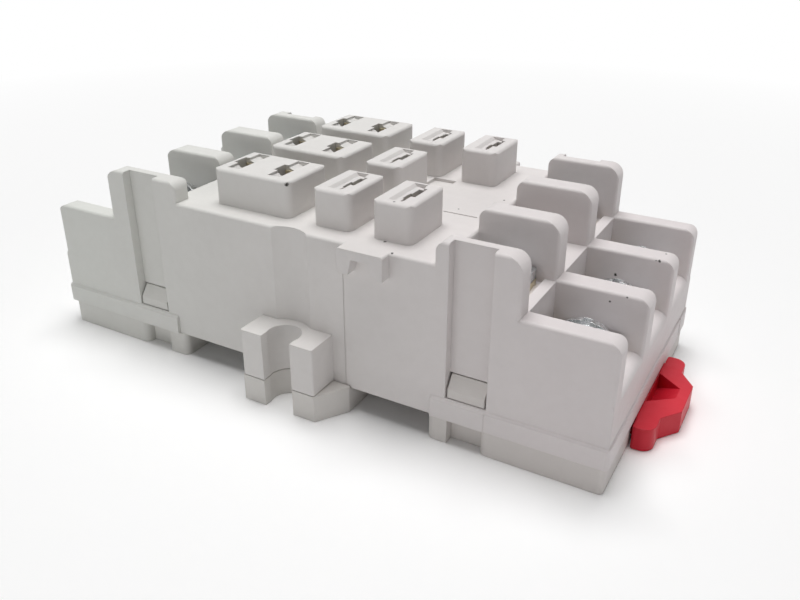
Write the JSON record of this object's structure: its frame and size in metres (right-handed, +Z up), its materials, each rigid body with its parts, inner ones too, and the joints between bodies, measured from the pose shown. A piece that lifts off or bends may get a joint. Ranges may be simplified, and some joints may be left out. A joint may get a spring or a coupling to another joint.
{
  "type": "relay socket",
  "caption": "Relay socket with blade receptacles in raised blocks, stepped screw terminals with wire clamps at both ends, open panel lugs, and a sliding clip for a rail.",
  "frame": {"origin": "middle of the housing in plan, on the mounting plane of the feet", "axes": "+X along the long side towards the rail clip, +Y along the rail towards the far side, +Z up, out of the blade blocks, the way the relay leaves"},
  "size_m": [0.0854, 0.0458, 0.0272],
  "materials": {
    "upper_housing": "light warm grey, fine matte moulding",
    "base_housing": "light warm grey, fine matte moulding",
    "rail_clip": "red, satin",
    "contact": "tinned brass",
    "wire_clamp": "zinc plated",
    "screw": "zinc plated"
  },
  "bodies": {
    "housing": {"upper_housing": "upper_housing", "base_housing": "base_housing", "contact_nc_near": "contact", "contact_nc_middle": "contact", "contact_nc_far": "contact", "contact_no_near": "contact", "contact_no_middle": "contact", "contact_no_far": "contact", "contact_com_near": "contact", "contact_com_middle": "contact", "contact_com_far": "contact", "contact_coil_near": "contact", "contact_coil_far": "contact"},
    "rail_clip": {"rail_clip": "rail_clip"},
    "wire_clamp_nc_near": {"wire_clamp_nc_near": "wire_clamp"},
    "screw_nc_near": {"screw_nc_near": "screw"},
    "wire_clamp_nc_middle": {"wire_clamp_nc_middle": "wire_clamp"},
    "screw_nc_middle": {"screw_nc_middle": "screw"},
    "wire_clamp_nc_far": {"wire_clamp_nc_far": "wire_clamp"},
    "screw_nc_far": {"screw_nc_far": "screw"},
    "wire_clamp_no_near": {"wire_clamp_no_near": "wire_clamp"},
    "screw_no_near": {"screw_no_near": "screw"},
    "wire_clamp_no_middle": {"wire_clamp_no_middle": "wire_clamp"},
    "screw_no_middle": {"screw_no_middle": "screw"},
    "wire_clamp_no_far": {"wire_clamp_no_far": "wire_clamp"},
    "screw_no_far": {"screw_no_far": "screw"},
    "wire_clamp_com_near": {"wire_clamp_com_near": "wire_clamp"},
    "screw_com_near": {"screw_com_near": "screw"},
    "wire_clamp_com_middle": {"wire_clamp_com_middle": "wire_clamp"},
    "screw_com_middle": {"screw_com_middle": "screw"},
    "wire_clamp_com_far": {"wire_clamp_com_far": "wire_clamp"},
    "screw_com_far": {"screw_com_far": "screw"},
    "wire_clamp_coil_near": {"wire_clamp_coil_near": "wire_clamp"},
    "screw_coil_near": {"screw_coil_near": "screw"},
    "wire_clamp_coil_far": {"wire_clamp_coil_far": "wire_clamp"},
    "screw_coil_far": {"screw_coil_far": "screw"}
  },
  "joints": [
    {"name": "rail_clip_slide", "type": "slide", "parent": "housing", "child": "rail_clip", "axis": [1, 0, 0], "range_m": [0, 0.0028], "stiffness_N_per_m": 600},
    {"name": "wire_clamp_nc_near_lift", "type": "slide", "parent": "housing", "child": "wire_clamp_nc_near", "axis": [0, 0, 1], "range_m": [0, 0.003]},
    {"name": "screw_nc_near_turn", "type": "hinge", "parent": "wire_clamp_nc_near", "child": "screw_nc_near", "pos_m": [-0.02385, -0.0116, 0.0197], "axis": [0, 0, 1], "range_deg": [0, 1800]},
    {"name": "wire_clamp_nc_middle_lift", "type": "slide", "parent": "housing", "child": "wire_clamp_nc_middle", "axis": [0, 0, 1], "range_m": [0, 0.003]},
    {"name": "screw_nc_middle_turn", "type": "hinge", "parent": "wire_clamp_nc_middle", "child": "screw_nc_middle", "pos_m": [-0.02385, 0, 0.0197], "axis": [0, 0, 1], "range_deg": [0, 1800]},
    {"name": "wire_clamp_nc_far_lift", "type": "slide", "parent": "housing", "child": "wire_clamp_nc_far", "axis": [0, 0, 1], "range_m": [0, 0.003]},
    {"name": "screw_nc_far_turn", "type": "hinge", "parent": "wire_clamp_nc_far", "child": "screw_nc_far", "pos_m": [-0.02385, 0.0116, 0.0197], "axis": [0, 0, 1], "range_deg": [0, 1800]},
    {"name": "wire_clamp_no_near_lift", "type": "slide", "parent": "housing", "child": "wire_clamp_no_near", "axis": [0, 0, 1], "range_m": [0, 0.003]},
    {"name": "screw_no_near_turn", "type": "hinge", "parent": "wire_clamp_no_near", "child": "screw_no_near", "pos_m": [-0.0344, -0.0116, 0.01375], "axis": [0, 0, 1], "range_deg": [0, 1800]},
    {"name": "wire_clamp_no_middle_lift", "type": "slide", "parent": "housing", "child": "wire_clamp_no_middle", "axis": [0, 0, 1], "range_m": [0, 0.003]},
    {"name": "screw_no_middle_turn", "type": "hinge", "parent": "wire_clamp_no_middle", "child": "screw_no_middle", "pos_m": [-0.0344, 0, 0.01375], "axis": [0, 0, 1], "range_deg": [0, 1800]},
    {"name": "wire_clamp_no_far_lift", "type": "slide", "parent": "housing", "child": "wire_clamp_no_far", "axis": [0, 0, 1], "range_m": [0, 0.003]},
    {"name": "screw_no_far_turn", "type": "hinge", "parent": "wire_clamp_no_far", "child": "screw_no_far", "pos_m": [-0.0344, 0.0116, 0.01375], "axis": [0, 0, 1], "range_deg": [0, 1800]},
    {"name": "wire_clamp_com_near_lift", "type": "slide", "parent": "housing", "child": "wire_clamp_com_near", "axis": [0, 0, 1], "range_m": [0, 0.003]},
    {"name": "screw_com_near_turn", "type": "hinge", "parent": "wire_clamp_com_near", "child": "screw_com_near", "pos_m": [0.0344, -0.0116, 0.01375], "axis": [0, 0, 1], "range_deg": [0, 1800]},
    {"name": "wire_clamp_com_middle_lift", "type": "slide", "parent": "housing", "child": "wire_clamp_com_middle", "axis": [0, 0, 1], "range_m": [0, 0.003]},
    {"name": "screw_com_middle_turn", "type": "hinge", "parent": "wire_clamp_com_middle", "child": "screw_com_middle", "pos_m": [0.0344, 0, 0.01375], "axis": [0, 0, 1], "range_deg": [0, 1800]},
    {"name": "wire_clamp_com_far_lift", "type": "slide", "parent": "housing", "child": "wire_clamp_com_far", "axis": [0, 0, 1], "range_m": [0, 0.003]},
    {"name": "screw_com_far_turn", "type": "hinge", "parent": "wire_clamp_com_far", "child": "screw_com_far", "pos_m": [0.0344, 0.0116, 0.01375], "axis": [0, 0, 1], "range_deg": [0, 1800]},
    {"name": "wire_clamp_coil_near_lift", "type": "slide", "parent": "housing", "child": "wire_clamp_coil_near", "axis": [0, 0, 1], "range_m": [0, 0.003]},
    {"name": "screw_coil_near_turn", "type": "hinge", "parent": "wire_clamp_coil_near", "child": "screw_coil_near", "pos_m": [0.02385, -0.0116, 0.0197], "axis": [0, 0, 1], "range_deg": [0, 1800]},
    {"name": "wire_clamp_coil_far_lift", "type": "slide", "parent": "housing", "child": "wire_clamp_coil_far", "axis": [0, 0, 1], "range_m": [0, 0.003]},
    {"name": "screw_coil_far_turn", "type": "hinge", "parent": "wire_clamp_coil_far", "child": "screw_coil_far", "pos_m": [0.02385, 0.0116, 0.0197], "axis": [0, 0, 1], "range_deg": [0, 1800]}
  ],
  "couplings": [
    {"joint": "screw_nc_near_turn", "follows": "wire_clamp_nc_near_lift", "rad_per_m": 10472},
    {"joint": "screw_nc_middle_turn", "follows": "wire_clamp_nc_middle_lift", "rad_per_m": 10472},
    {"joint": "screw_nc_far_turn", "follows": "wire_clamp_nc_far_lift", "rad_per_m": 10472},
    {"joint": "screw_no_near_turn", "follows": "wire_clamp_no_near_lift", "rad_per_m": 10472},
    {"joint": "screw_no_middle_turn", "follows": "wire_clamp_no_middle_lift", "rad_per_m": 10472},
    {"joint": "screw_no_far_turn", "follows": "wire_clamp_no_far_lift", "rad_per_m": 10472},
    {"joint": "screw_com_near_turn", "follows": "wire_clamp_com_near_lift", "rad_per_m": 10472},
    {"joint": "screw_com_middle_turn", "follows": "wire_clamp_com_middle_lift", "rad_per_m": 10472},
    {"joint": "screw_com_far_turn", "follows": "wire_clamp_com_far_lift", "rad_per_m": 10472},
    {"joint": "screw_coil_near_turn", "follows": "wire_clamp_coil_near_lift", "rad_per_m": 10472},
    {"joint": "screw_coil_far_turn", "follows": "wire_clamp_coil_far_lift", "rad_per_m": 10472}
  ]
}
